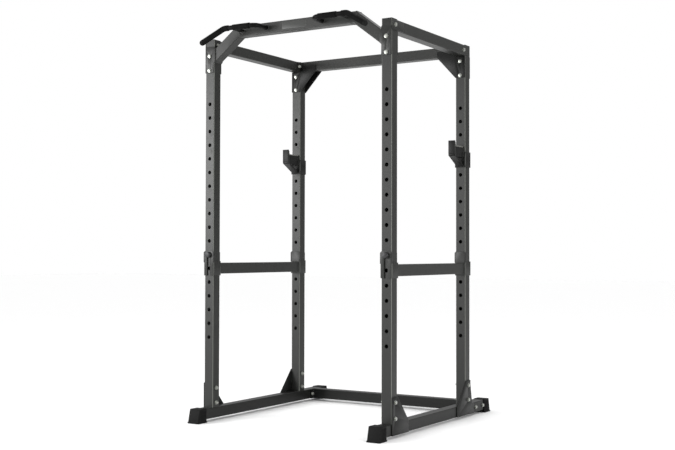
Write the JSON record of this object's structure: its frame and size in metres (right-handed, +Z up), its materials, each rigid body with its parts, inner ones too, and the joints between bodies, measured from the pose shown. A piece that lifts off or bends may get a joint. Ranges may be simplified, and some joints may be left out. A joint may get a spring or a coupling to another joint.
{
  "type": "power cage",
  "caption": "Bolted steel power cage with drilled uprights, a raised chin-up bar with angled handles, height-adjustable spotter bars and bar hooks on pull-out pins, and rubber feet.",
  "frame": {"origin": "on the floor, at the middle of the outer box", "axes": "+Z up; +X to the right of a person who faces the cage from the chin-up bar side; +Y from the chin-up bar towards the rear crossbar"},
  "size_m": [1.1948, 1.3186, 2.142],
  "materials": {
    "frame_paint": "satin powder coat, charcoal grey",
    "bracket_paint": "satin powder coat, darker charcoal",
    "handle_paint": "satin black paint",
    "grip_rubber": "matt foam rubber",
    "foot_rubber": "matt moulded rubber",
    "cap_plastic": "grained black plastic",
    "liner_plastic": "smooth grey plastic",
    "zinc_fasteners": "bright zinc plating",
    "pin_steel": "black oxide",
    "badge_plate": "satin light grey, blank"
  },
  "bodies": {
    "frame": {"base_rail_left": "frame_paint", "base_rail_right": "frame_paint", "base_crossbar": "frame_paint", "post_front_left": "frame_paint", "post_front_right": "frame_paint", "post_rear_left": "frame_paint", "post_rear_right": "frame_paint", "base_gusset_front_left": "frame_paint", "base_gusset_front_right": "frame_paint", "base_gusset_rear_left": "frame_paint", "base_gusset_rear_right": "frame_paint", "top_rail_left": "frame_paint", "top_rail_right": "frame_paint", "top_rail_plates": "frame_paint", "top_crossbar": "frame_paint", "rear_bracket_left": "bracket_paint", "rear_bracket_right": "bracket_paint", "chin_bar": "frame_paint", "chin_leg_left": "frame_paint", "chin_leg_right": "frame_paint", "chin_plates_left": "frame_paint", "chin_plates_right": "frame_paint", "handle_left": "handle_paint", "handle_right": "handle_paint", "grips_left": "grip_rubber", "grips_right": "grip_rubber", "grip_caps": "grip_rubber", "badge_plate": "badge_plate", "foot_front_left": "foot_rubber", "foot_front_right": "foot_rubber", "foot_rear_left": "foot_rubber", "foot_rear_right": "foot_rubber", "post_caps": "cap_plastic", "top_rail_caps": "cap_plastic", "base_bolts": "zinc_fasteners", "crossbar_bolts": "zinc_fasteners", "top_rail_bolts": "zinc_fasteners", "bracket_bolts": "zinc_fasteners", "lock_nuts": "zinc_fasteners", "washers": "zinc_fasteners"},
    "spotter_left": {"spotter_bar_left": "frame_paint", "spotter_collar_front_left": "frame_paint", "spotter_collar_rear_left": "frame_paint"},
    "hook_left": {"hook_bracket_left": "bracket_paint", "hook_lip_left": "bracket_paint", "hook_liner_left": "liner_plastic"},
    "spotter_pin_front_left": {"spotter_pin_front_left": "pin_steel"},
    "spotter_pin_rear_left": {"spotter_pin_rear_left": "pin_steel"},
    "hook_pin_left": {"hook_pin_left": "pin_steel"},
    "spotter_right": {"spotter_bar_right": "frame_paint", "spotter_collar_front_right": "frame_paint", "spotter_collar_rear_right": "frame_paint"},
    "hook_right": {"hook_bracket_right": "bracket_paint", "hook_lip_right": "bracket_paint", "hook_liner_right": "liner_plastic"},
    "spotter_pin_front_right": {"spotter_pin_front_right": "pin_steel"},
    "spotter_pin_rear_right": {"spotter_pin_rear_right": "pin_steel"},
    "hook_pin_right": {"hook_pin_right": "pin_steel"}
  },
  "joints": [
    {"name": "spotter_left_lift", "type": "slide", "parent": "frame", "child": "spotter_left", "axis": [0, 0, 1], "range_m": [0, 0.45]},
    {"name": "hook_left_lift", "type": "slide", "parent": "frame", "child": "hook_left", "axis": [0, 0, 1], "range_m": [0, 0.375]},
    {"name": "spotter_pin_front_left_pull", "type": "slide", "parent": "frame", "child": "spotter_pin_front_left", "axis": [0, -1, 0], "range_m": [0, 0.08]},
    {"name": "spotter_pin_rear_left_pull", "type": "slide", "parent": "frame", "child": "spotter_pin_rear_left", "axis": [0, 1, 0], "range_m": [0, 0.08]},
    {"name": "hook_pin_left_pull", "type": "slide", "parent": "frame", "child": "hook_pin_left", "axis": [0, 1, 0], "range_m": [0, 0.08]},
    {"name": "spotter_right_lift", "type": "slide", "parent": "frame", "child": "spotter_right", "axis": [0, 0, 1], "range_m": [0, 0.45]},
    {"name": "hook_right_lift", "type": "slide", "parent": "frame", "child": "hook_right", "axis": [0, 0, 1], "range_m": [0, 0.375]},
    {"name": "spotter_pin_front_right_pull", "type": "slide", "parent": "frame", "child": "spotter_pin_front_right", "axis": [0, -1, 0], "range_m": [0, 0.08]},
    {"name": "spotter_pin_rear_right_pull", "type": "slide", "parent": "frame", "child": "spotter_pin_rear_right", "axis": [0, 1, 0], "range_m": [0, 0.08]},
    {"name": "hook_pin_right_pull", "type": "slide", "parent": "frame", "child": "hook_pin_right", "axis": [0, 1, 0], "range_m": [0, 0.08]}
  ]
}
